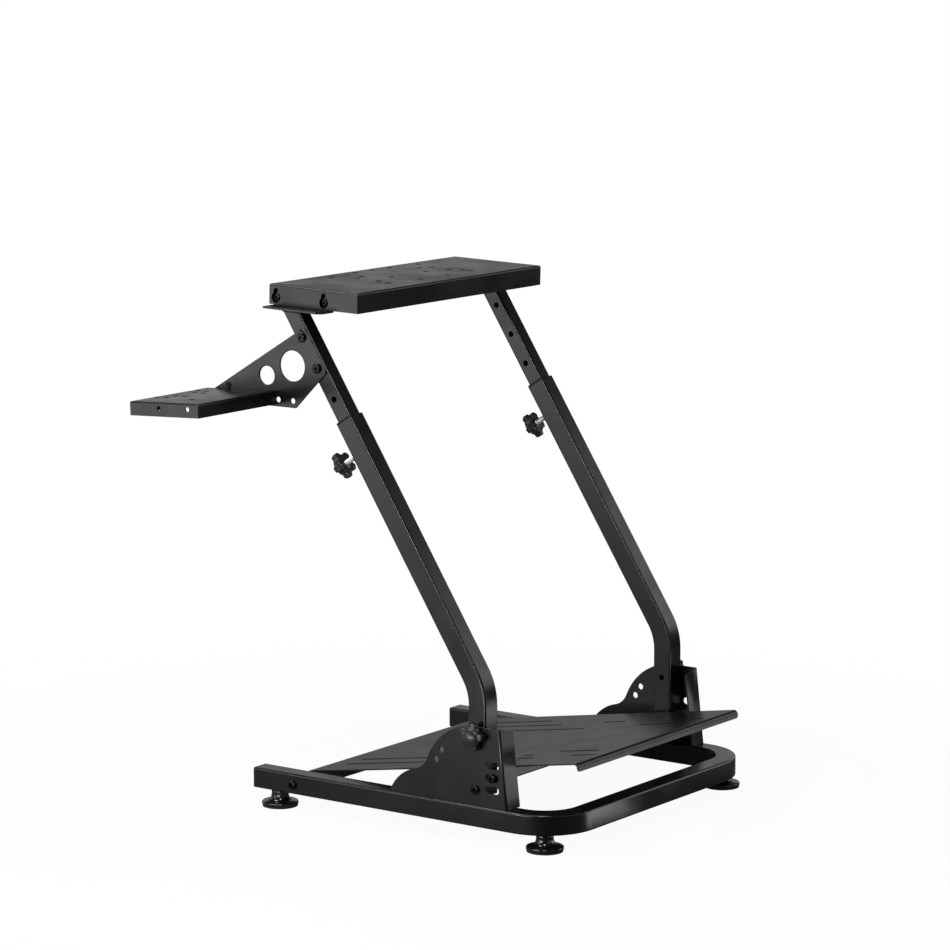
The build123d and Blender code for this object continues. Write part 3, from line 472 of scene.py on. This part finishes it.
for bar, half in BAR_HALF.items():
    low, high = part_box(bar)
    middle = np.array([stand_middle_x, (low.y + high.y) / 2, (low.z + high.z) / 2])
    upper_edge = middle + (half - STITCH_IN) * along_plate + (half - STITCH_DOWN) * off_plate
    for x in STITCH_MIDDLES:
        start = upper_edge + (x - STITCH_LONG / 2) * RIGHTWARD
        stitches.append(bead(start, start + STITCH_LONG * RIGHTWARD, STITCH_R))
pedal_welds = skin("pedal_plate_welds", stitches, frame_paint, smooth_below=80.0)
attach(pedal_welds, "base")

# Bolts of the base: black-oxide steel button heads with hexagon sockets, which hold the bars,
# and the two pivot bolts with their lock nuts, about which the uprights tip.
black_oxide = metal(
    "black_oxide",
    colour=(0.026, 0.026, 0.027),
    roughness=0.20,
    scratch_scale=1500.0,
    swing=0.05,
    metallic=1.0,
)
dress(black_oxide, "rear_bar_bolts", "support_bar_bolts", "pivot_bolt_right", "pivot_bolt_left")

# Lower tubes: 30 mm square steel, bent once above the pivot and painted with the base.
# A threaded boss for the height screw stands on the underside of each.
dress(frame_paint, "lower_tube_right", "lower_tube_left", "clamp_nut_right", "clamp_nut_left")

# Guide collars: moulded plastic rings pushed into the mouths of the lower tubes.
# They keep the upper tubes from rattling.
collar_plastic = painted(
    "collar_plastic",
    colour=(0.003, 0.003, 0.003),
    speck_colour=(0.010, 0.010, 0.010),
    values={
        "Speck Amount": 0.5,
        "Speck Scale": 1600.0,
        "Roughness": 0.42,
        "Gloss Change": 0.06,
        "Peel Scale": 1500.0,
    },
    bump_strength=0.2,
    bump_depth=0.2 * MM,
    specular=0.22,
)
dress(collar_plastic, "tube_collar_right", "tube_collar_left")

# Upper tubes: 25 mm square steel that slides in the lower tubes, drilled across every 50 mm.
# They are painted as the base is, with specks a little coarser.
head_paint = painted(
    "head_paint",
    colour=(0.002, 0.002, 0.0022),
    speck_colour=(0.010, 0.010, 0.011),
    values={
        "Speck Amount": 0.45,
        "Speck Scale": 1050.0,
        "Roughness": 0.27,
        "Gloss Change": 0.08,
        "Peel Scale": 620.0,
    },
    bump_strength=0.05,
    bump_depth=0.2 * MM,
    specular=0.5,
)
dress(head_paint, "upper_tube_right", "upper_tube_left")

# Wheel plate: a folded 2 mm steel pan that hangs by keyholes on the bolts of two angle brackets.
# The brackets are welded on the upper tubes' ends.
dress(head_paint, "top_bracket_right", "top_bracket_left", "wheel_plate")
dress(black_oxide, "wheel_plate_bolts")
roll_edges(EDGE_ROLL, "top_bracket_right", "top_bracket_left")


def node_points(name):
    """Corners of a CAD node as an array (corners, 3)."""
    vertices = nodes[name].data.vertices
    numbers = np.empty(3 * len(vertices), dtype=np.float32)
    vertices.foreach_get("co", numbers)
    return numbers.reshape(-1, 3).astype(float)


WHEEL_TILT = math.radians(1.5)
END_FACE_DEPTH = 0.05 * MM
SEAM_R = 1.6 * MM
tube_end_up = np.array([0.0, math.sin(WHEEL_TILT), math.cos(WHEEL_TILT)])
for side in ("right", "left"):
    tube_points = node_points("upper_tube_" + side)
    end_heights = tube_points @ tube_end_up
    end_points = tube_points[end_heights > end_heights.max() - END_FACE_DEPTH]
    left_x, right_x = end_points[:, 0].min(), end_points[:, 0].max()
    _, rear_y, rear_z = end_points[end_points[:, 1].argmin()]
    _, fore_y, fore_z = end_points[end_points[:, 1].argmax()]
    left_rear = np.array([left_x, rear_y, rear_z])
    right_rear = np.array([right_x, rear_y, rear_z])
    left_fore = np.array([left_x, fore_y, fore_z])
    right_fore = np.array([right_x, fore_y, fore_z])
    seam = [
        bead(left_fore, right_fore, SEAM_R),
        bead(left_rear, right_rear, SEAM_R),
        bead(left_rear, left_fore, SEAM_R),
        bead(right_rear, right_fore, SEAM_R),
    ]
    welds = skin("bracket_welds_" + side, seam, head_paint, smooth_below=80.0)
    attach(welds, "head")

# Shifter gusset and tray: a triangular 3 mm plate bolted to the right upper tube, its edges rolled over,
# and a folded pan bolted to its foot. A small flat screw sits at the plate's tip, and its profile is rows
# of radius and height in millimetres.
dress(head_paint, "shifter_gusset", "shifter_tray")
dress(black_oxide, "gusset_bolts", "tray_bolts")
GUSSET_ROLL = 1.2 * MM
roll_edges(GUSSET_ROLL, "shifter_gusset")
FORWARD = np.array([0.0, 1.0, 0.0])
SCREW_AROUND, SCREW_ROUND_POINTS = 48, 8
SCREW_AHEAD, SCREW_UP = -45.0, 608.5
SCREW_WALL = [[0.3, -0.6], [4.7, -0.6], [4.8, 0.2]]
SCREW_ROUND_MIDDLE, SCREW_ROUND, SCREW_ROUND_TURN = (3.9, 0.3), 0.9, 78.0
SCREW_SOCKET = [[1.9, 1.3], [1.7, 1.2], [1.6, 0.5], [0.2, 0.4]]
rails_rear_y = rail_low.y


def place(x, y, z):
    """Point in metres from millimetres.

    They count right of the stand's middle, forward of the rails' rear ends and up from the floor.
    """
    return np.array([stand_middle_x + x * MM, rails_rear_y + y * MM, z * MM])


screw_spot = place(0.0, SCREW_AHEAD, SCREW_UP)
screw_spot[0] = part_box("shifter_gusset")[1].x
screw_round = arc(SCREW_ROUND_MIDDLE, SCREW_ROUND, 0.0, SCREW_ROUND_TURN, SCREW_ROUND_POINTS)
screw_head = np.concatenate([SCREW_WALL, screw_round, SCREW_SOCKET])
rings = turned(screw_head * MM, screw_spot, RIGHTWARD, FORWARD, SCREW_AROUND)
tip_screw = skin("gusset_tip_screw", [rings], black_oxide, smooth_below=40.0)
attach(tip_screw, "head")

# Hand knobs: five-lobed moulded knobs with a smooth dome, on zinc-plated screws.
# Two clamp the upper tubes from under the lower tubes, and two lock the fold on the side plates.
knob_plastic = painted(
    "knob_plastic",
    colour=(0.012, 0.012, 0.0125),
    speck_colour=(0.02, 0.02, 0.02),
    values={
        "Speck Amount": 0.5,
        "Speck Scale": 1200.0,
        "Roughness": 0.30,
        "Gloss Change": 0.10,
        "Peel Scale": 700.0,
    },
    bump_strength=0.12,
    bump_depth=0.3 * MM,
    specular=0.5,
)
KNOB_AROUND, BACK_POINTS, FACE_POINTS, DOME_POINTS = 200, 8, 10, 18
LOBES = 5
HUB_R, HUB_FOOT_R, DOME_R = 8.0 * MM, 7.2 * MM, 14.0 * MM
HUB_HIGH, HUB_CHAMFER, DOME_HIGH, DOME_SKIRT = 1.0 * MM, 0.3 * MM, 5.5 * MM, 0.3 * MM
BACK_ROUND, FACE_ROUND = 2.5 * MM, 3.0 * MM
DOME_TOP_TURN = 89.0
NOTCH_R, NOTCH_DEEP, NOTCH_BLEND = 11.0 * MM, 5.5 * MM, 1.0 * MM
HEIGHT_LOBE, LOCK_LOBE = math.radians(-13.0), math.radians(5.0)
MIRROR_X = np.array([-1.0, 1.0, 1.0])
THREAD_PITCH, THREAD_DEEP = 1.25 * MM, 0.4 * MM
THREAD_AROUND, THREAD_PITCH_ROWS, THREAD_FEWEST_ROWS = 28, 8, 12


def star_rings(profile, rim_r, foot, axis, lobe_way):
    """Rings of a star knob: each profile row (radius, height) becomes a ring about the axis through foot.

    Its reach at an angle is the smaller of the radius and the near side of the notch circle there, blended
    over a short length so that the lobes have round corners, and it never cuts into the dome. A row inside
    the rim moves the notch in by as much, so the rounded edge of the rim follows the notches. One lobe
    points lobe_way.
    """
    across = np.cross(axis, lobe_way)
    angle = np.linspace(0.0, 2.0 * np.pi, KNOB_AROUND, endpoint=False)
    sector = 2.0 * np.pi / LOBES
    off = angle % sector - sector / 2
    notch_middle = rim_r - NOTCH_DEEP + NOTCH_R
    chord = NOTCH_R**2 - (notch_middle * np.sin(off)) ** 2
    near_side = notch_middle * np.cos(off) - np.sqrt(np.maximum(chord, 0.0))
    near_side = np.where(chord > 0.0, near_side, 2.0 * rim_r)
    radius = profile[:, 0, None]
    notched = near_side[None, :] - (rim_r - radius)
    blended = 0.5 * (radius + notched - np.sqrt((radius - notched) ** 2 + NOTCH_BLEND**2))
    reach = np.maximum(np.minimum(blended, radius), np.minimum(radius, DOME_R + DOME_SKIRT))
    circle = np.cos(angle)[:, None] * lobe_way + np.sin(angle)[:, None] * across
    return foot + profile[:, 1, None, None] * axis + reach[:, :, None] * circle


def thread_rings(radius, low, high, foot, axis, sideways):
    """Rings of a screw thread.

    The radius follows a triangle wave of the height less the turn, so the ridge climbs one pitch a turn.
    """
    across = np.cross(axis, sideways)
    rows = max(THREAD_FEWEST_ROWS, int((high - low) / THREAD_PITCH * THREAD_PITCH_ROWS))
    height = np.linspace(low, high, rows)
    angle = np.linspace(0.0, 2.0 * np.pi, THREAD_AROUND, endpoint=False)
    phase = height[:, None] / THREAD_PITCH - angle[None, :] / (2.0 * np.pi)
    wave = np.abs(2.0 * (phase - np.floor(phase + 0.5)))
    reach = radius - THREAD_DEEP * wave
    circle = np.cos(angle)[:, None] * sideways + np.sin(angle)[:, None] * across
    return foot + height[:, None, None] * axis + reach[:, :, None] * circle


def measure(node, seat, axis):
    """A node's lowest and highest place along an axis through seat, and its largest radius about it."""
    corners = node_points(node) - seat
    heights = corners @ axis
    radii = np.linalg.norm(corners - heights[:, None] * axis, axis=1)
    return heights.min(), heights.max(), radii.max()


for joint in frame["joints"]:
    if not joint.get("continuous"):
        continue
    knob_node = joint["name"].replace("_spin", "")
    screw_node = knob_node.replace("knob", "screw")
    axis = np.array(joint["axis"])
    seat = np.array(joint["pos_m"])
    sideways, lobe_turn = (FORWARD, LOCK_LOBE) if "lock" in knob_node else (RIGHTWARD, HEIGHT_LOBE)
    right_axis = np.array([abs(axis[0]), axis[1], axis[2]])
    lobe_way = math.cos(lobe_turn) * sideways + math.sin(lobe_turn) * np.cross(right_axis, sideways)
    if knob_node.endswith("left"):
        lobe_way = lobe_way * MIRROR_X
    low, high, rim_r = measure(knob_node, seat, axis)
    back, face = low + HUB_HIGH, high - DOME_HIGH
    hub = [[HUB_FOOT_R, low], [HUB_R, low + HUB_CHAMFER], [HUB_R, back]]
    round_back = arc((rim_r - BACK_ROUND, back + BACK_ROUND), BACK_ROUND, -90.0, 0.0, BACK_POINTS)
    round_face = arc((rim_r - FACE_ROUND, face - FACE_ROUND), FACE_ROUND, 0.0, 90.0, FACE_POINTS)
    dome_ball = (DOME_R**2 + DOME_HIGH**2) / (2.0 * DOME_HIGH)
    dome_turn = np.degrees(np.arcsin(DOME_R / dome_ball))
    dome = arc((0.0, high - dome_ball), dome_ball, 90.0 - dome_turn, DOME_TOP_TURN, DOME_POINTS)
    profile = np.concatenate([hub, round_back, round_face, dome])
    rings = star_rings(profile, rim_r, seat, axis, lobe_way)
    knob = skin("star_" + knob_node, [rings], knob_plastic, smooth_below=60.0)
    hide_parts(knob_node)
    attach(knob, joint["child"])
    low, high, radius = measure(screw_node, seat, axis)
    rings = thread_rings(radius, low, high, seat, axis, sideways)
    thread = skin("threaded_" + screw_node, [rings], zinc_plate, smooth_below=25.0)
    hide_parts(screw_node)
    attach(thread, joint["child"])

# Studio floor: a seamless white sheet that keeps a faint shadow. Seen directly it is white, and in
# reflections it shows painted shade: nearly dark, darker toward the front, with painted grey and light
# strips along the stand's right side that show as reflections in the rails.
FLOOR_HALF = 9.0
FLOOR_LINES = 3
floor_line = np.linspace(-FLOOR_HALF, FLOOR_HALF, FLOOR_LINES)
floor_x, floor_y = np.meshgrid(floor_line, floor_line)
floor_points = np.stack([floor_x, floor_y, np.zeros_like(floor_x)], axis=-1).reshape(-1, 3)
floor_index = np.arange(FLOOR_LINES**2).reshape(FLOOR_LINES, FLOOR_LINES)
floor_faces = np.stack(
    [floor_index[:-1, :-1], floor_index[:-1, 1:], floor_index[1:, 1:], floor_index[1:, :-1]],
    axis=-1,
).reshape(-1, 4)
floor_mesh = bpy.data.meshes.new("studio_floor")
floor_mesh.from_pydata(floor_points.tolist(), [], floor_faces.tolist())
floor = bpy.data.objects.new("studio_floor", floor_mesh)
bpy.context.scene.collection.objects.link(floor)
REFLECTED_SHARE = 0.05


def seen_directly(tree):
    """How far a ray sees the white itself.

    One for rays from the camera or through glass, REFLECTED_SHARE for reflections, and nought for the light
    that falls on things.
    """
    path = tree.nodes.new("ShaderNodeLightPath").outputs
    reflected = reckon(tree, "MULTIPLY", path["Is Glossy Ray"], REFLECTED_SHARE)
    direct = reckon(tree, "MAXIMUM", path["Is Camera Ray"], path["Is Transmission Ray"])
    return reckon(tree, "MAXIMUM", direct, reflected)


# Painted shade and reflections: the floor's colour in reflections falls from the rear toward the front, and
# strips across it are painted lighter and darker.
REAR_Y, FORE_Y, REAR_TONE, FORE_TONE = 0.10, 0.36, 0.35, 0.04
STRIPS_START, STRIPS_END = 0.3, 1.5
PAINTED_STRIP_TONES = ((0.3, 0.78), (0.5, 0.82), (0.58, 1.0), (0.68, 1.0), (0.78, 0.68), (1.0, 0.70), (1.25, 1.06))
SHADOWED_TONE = 0.6
NEAR_STAND, FAR_OUT, NEAR_WHITE, FAR_WHITE = 0.45, 1.3, 0.95, 1.0
floor_white = bpy.data.materials.new("floor_white")
floor_white.use_nodes = True
tree = floor_white.node_tree
tree.nodes.clear()
floor_spot = tree.nodes.new("ShaderNodeTexCoord").outputs["Object"]
spot_parts = tree.nodes.new("ShaderNodeSeparateXYZ")
tree.links.new(floor_spot, spot_parts.inputs["Vector"])
strips = tree.nodes.new("ShaderNodeValToRGB")
while len(strips.color_ramp.elements) < len(PAINTED_STRIP_TONES):
    strips.color_ramp.elements.new(0.5)
for stop, (across, tone) in zip(strips.color_ramp.elements, PAINTED_STRIP_TONES):
    stop.position = (across - STRIPS_START) / (STRIPS_END - STRIPS_START)
    stop.color = (tone, tone, tone, 1.0)
strip_place = spread(tree, spot_parts.outputs["X"], STRIPS_START, STRIPS_END, 0.0, 1.0)
tree.links.new(strip_place, strips.inputs["Fac"])
# Painted shade darker toward the front, times the painted strips, is the floor's colour for all rays but the
# camera's.
painted_front_shade = spread(tree, spot_parts.outputs["Y"], REAR_Y, FORE_Y, REAR_TONE, FORE_TONE)
painted_reflection_tone = reckon(tree, "MULTIPLY", painted_front_shade, strips.outputs["Color"])
camera_ray = tree.nodes.new("ShaderNodeLightPath").outputs["Is Camera Ray"]
shadow_tone = reckon(tree, "MULTIPLY", camera_ray, SHADOWED_TONE)
matt = tree.nodes.new("ShaderNodeBsdfDiffuse")
tree.links.new(reckon(tree, "MAXIMUM", painted_reflection_tone, shadow_tone), matt.inputs["Color"])
from_middle = tree.nodes.new("ShaderNodeVectorMath")
from_middle.operation = "LENGTH"
tree.links.new(floor_spot, from_middle.inputs[0])
white_share = spread(tree, from_middle.outputs["Value"], NEAR_STAND, FAR_OUT, NEAR_WHITE, FAR_WHITE)
glow = tree.nodes.new("ShaderNodeEmission")
mixed = tree.nodes.new("ShaderNodeMixShader")
tree.links.new(reckon(tree, "MULTIPLY", seen_directly(tree), white_share), mixed.inputs["Fac"])
tree.links.new(matt.outputs["BSDF"], mixed.inputs[1])
tree.links.new(glow.outputs["Emission"], mixed.inputs[2])
tree.links.new(mixed.outputs["Shader"], tree.nodes.new("ShaderNodeOutputMaterial").inputs["Surface"])
floor_mesh.materials.append(floor_white)

# Studio light: a white backdrop that hardly lights the stand, and soft boxes and small cards round it.
# The strongest lamps hang high on the stand's right, and weaker ones fill the other sides.
WORLD_LIGHT = 0.06
world = bpy.data.worlds.new("studio")
bpy.context.scene.world = world
world.use_nodes = True
tree = world.node_tree
sky = tree.nodes["Background"]
sky.inputs["Color"].default_value = (1.0, 1.0, 1.0, 1.0)
tree.links.new(reckon(tree, "MAXIMUM", seen_directly(tree), WORLD_LIGHT), sky.inputs["Strength"])
stand_middle = place(60.0, 250.0, 420.0)


def soft_box(name, offset, width, height, power):
    """Rectangular lamp at an offset in metres from the stand's middle, turned toward it."""
    lamp = bpy.data.lights.new(name, "AREA")
    lamp.shape = "RECTANGLE"
    lamp.size = width
    lamp.size_y = height
    lamp.energy = power
    holder = bpy.data.objects.new(name, lamp)
    holder.location = Vector(stand_middle) + Vector(offset)
    holder.rotation_euler = (-Vector(offset)).to_track_quat("-Z", "Y").to_euler()
    holder.visible_camera = False
    bpy.context.scene.collection.objects.link(holder)


soft_box("left_box", (2.4, -1.5, 0.25), 1.5, 1.3, 15.0)
soft_box("left_high_box", (1.3, -1.15, 2.5), 1.5, 0.9, 70.0)
soft_box("corner_box", (1.75, 1.15, 1.4), 0.5, 0.7, 24.0)
soft_box("driver_box", (0.0, -3.0, 0.2), 2.2, 1.6, 9.0)
soft_box("far_box", (-2.9, 0.0, 0.0), 1.2, 1.2, 3.6)
soft_box("fore_box", (0.3, 2.8, 0.1), 1.4, 1.2, 4.2)
soft_box("left_card", (0.95, 0.05, -0.3), 0.5, 0.14, 2.6)
soft_box("back_box", (-2.6, -1.9, 0.45), 2.6, 1.1, 4.2)
soft_box("right_box", (-2.4, 1.7, 0.82), 1.6, 1.15, 9.5)
soft_box("right_card", (-0.28, 0.52, -0.36), 0.6, 0.1, 0.36)
soft_box("floor_card", (-0.02, 0.385, -0.4), 0.14, 0.06, 0.065)

# Camera: a long lens, ahead of the stand and to its right, higher than the wheel plate.
# Its place, aim and lens are fitted to the corners of the frame.
EYE = place(4485.7, 3470.3, 1377.3)
AIM = place(82.45, 270.0, 485.15)
ROLL = math.radians(-0.11)
FOCAL_PIXELS, FRAME_PIXELS, SENSOR = 3875.0, 950.0, 36.0
lens = bpy.data.cameras.new("camera")
lens.sensor_width = SENSOR
lens.lens = FOCAL_PIXELS / FRAME_PIXELS * SENSOR
lens.clip_end = 100.0
camera = bpy.data.objects.new("camera", lens)
back = Vector(EYE - AIM).normalized()
level = Vector(UPWARD).cross(back).normalized()
right = math.cos(ROLL) * level + math.sin(ROLL) * back.cross(level)
upright = back.cross(right)
camera.matrix_world = Matrix.Translation(Vector(EYE)) @ Matrix((right, upright, back)).transposed().to_4x4()
bpy.context.scene.collection.objects.link(camera)
bpy.context.scene.camera = camera
bpy.context.scene.view_settings.view_transform = "Standard"
